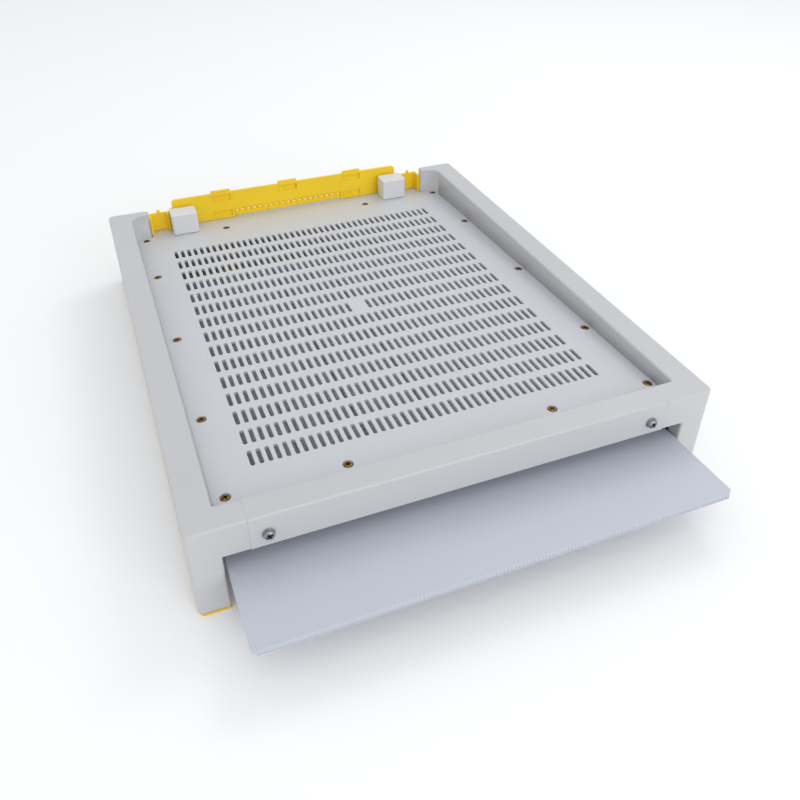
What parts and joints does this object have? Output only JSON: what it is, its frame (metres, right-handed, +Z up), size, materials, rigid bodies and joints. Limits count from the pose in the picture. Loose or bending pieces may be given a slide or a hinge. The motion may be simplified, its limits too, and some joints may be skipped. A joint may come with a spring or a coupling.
{
  "type": "ventilated beehive floor",
  "caption": "Plastic beehive floor with a slotted sloping screen, a pull-out inspection tray and a lift-up entrance gate.",
  "frame": {"origin": "on the ground under the middle of the whole object's outline, with the tray drawn out as in the picture", "axes": "+Z up, +Y out through the bees' entrance, X across the hive; the tray is drawn out towards -Y"},
  "size_m": [0.425, 0.5908, 0.0894],
  "materials": {
    "white_body": "smooth satin white moulded plastic",
    "white_floor": "satin white moulded plastic",
    "white_sheet": "white fluted twin-wall sheet, faint lengthwise flutes",
    "white_runner": "plain white plastic",
    "yellow_gate": "satin golden yellow moulded plastic",
    "yellow_base": "golden yellow plastic",
    "brassed_steel": "yellow-zinc plated steel screws",
    "zinc_steel": "bright zinc plated steel"
  },
  "bodies": {
    "hive_frame": {"base_cover_entrance": "yellow_base", "base_cover_left": "yellow_base", "base_cover_right": "yellow_base", "entrance_sill": "white_body", "floor_screw_01": "brassed_steel", "floor_screw_02": "brassed_steel", "floor_screw_03": "brassed_steel", "floor_screw_04": "brassed_steel", "floor_screw_05": "brassed_steel", "floor_screw_06": "brassed_steel", "floor_screw_07": "brassed_steel", "floor_screw_08": "brassed_steel", "floor_screw_09": "brassed_steel", "floor_screw_10": "brassed_steel", "floor_screw_11": "brassed_steel", "floor_screw_12": "brassed_steel", "floor_screw_13": "brassed_steel", "floor_screw_14": "brassed_steel", "gate_block_left": "white_body", "gate_block_right": "white_body", "gate_guide_left": "yellow_gate", "gate_guide_right": "yellow_gate", "rail_screw_left": "zinc_steel", "rail_screw_right": "zinc_steel", "rail_washer_left": "zinc_steel", "rail_washer_right": "zinc_steel", "rear_rail": "white_body", "screen_floor": "white_floor", "side_frame_left": "white_body", "side_frame_right": "white_body", "tray_runner_left": "white_runner", "tray_runner_right": "white_runner"},
    "tray": {"inspection_tray": "white_sheet"},
    "gate": {"entrance_gate": "yellow_gate"}
  },
  "joints": [
    {"name": "tray_slide", "type": "slide", "parent": "hive_frame", "child": "tray", "axis": [0, -0.9995, 0.0304], "range_m": [-0.068, 0.36]},
    {"name": "gate_lift", "type": "slide", "parent": "hive_frame", "child": "gate", "axis": [0, 0, 1], "range_m": [0, 0.024]}
  ]
}
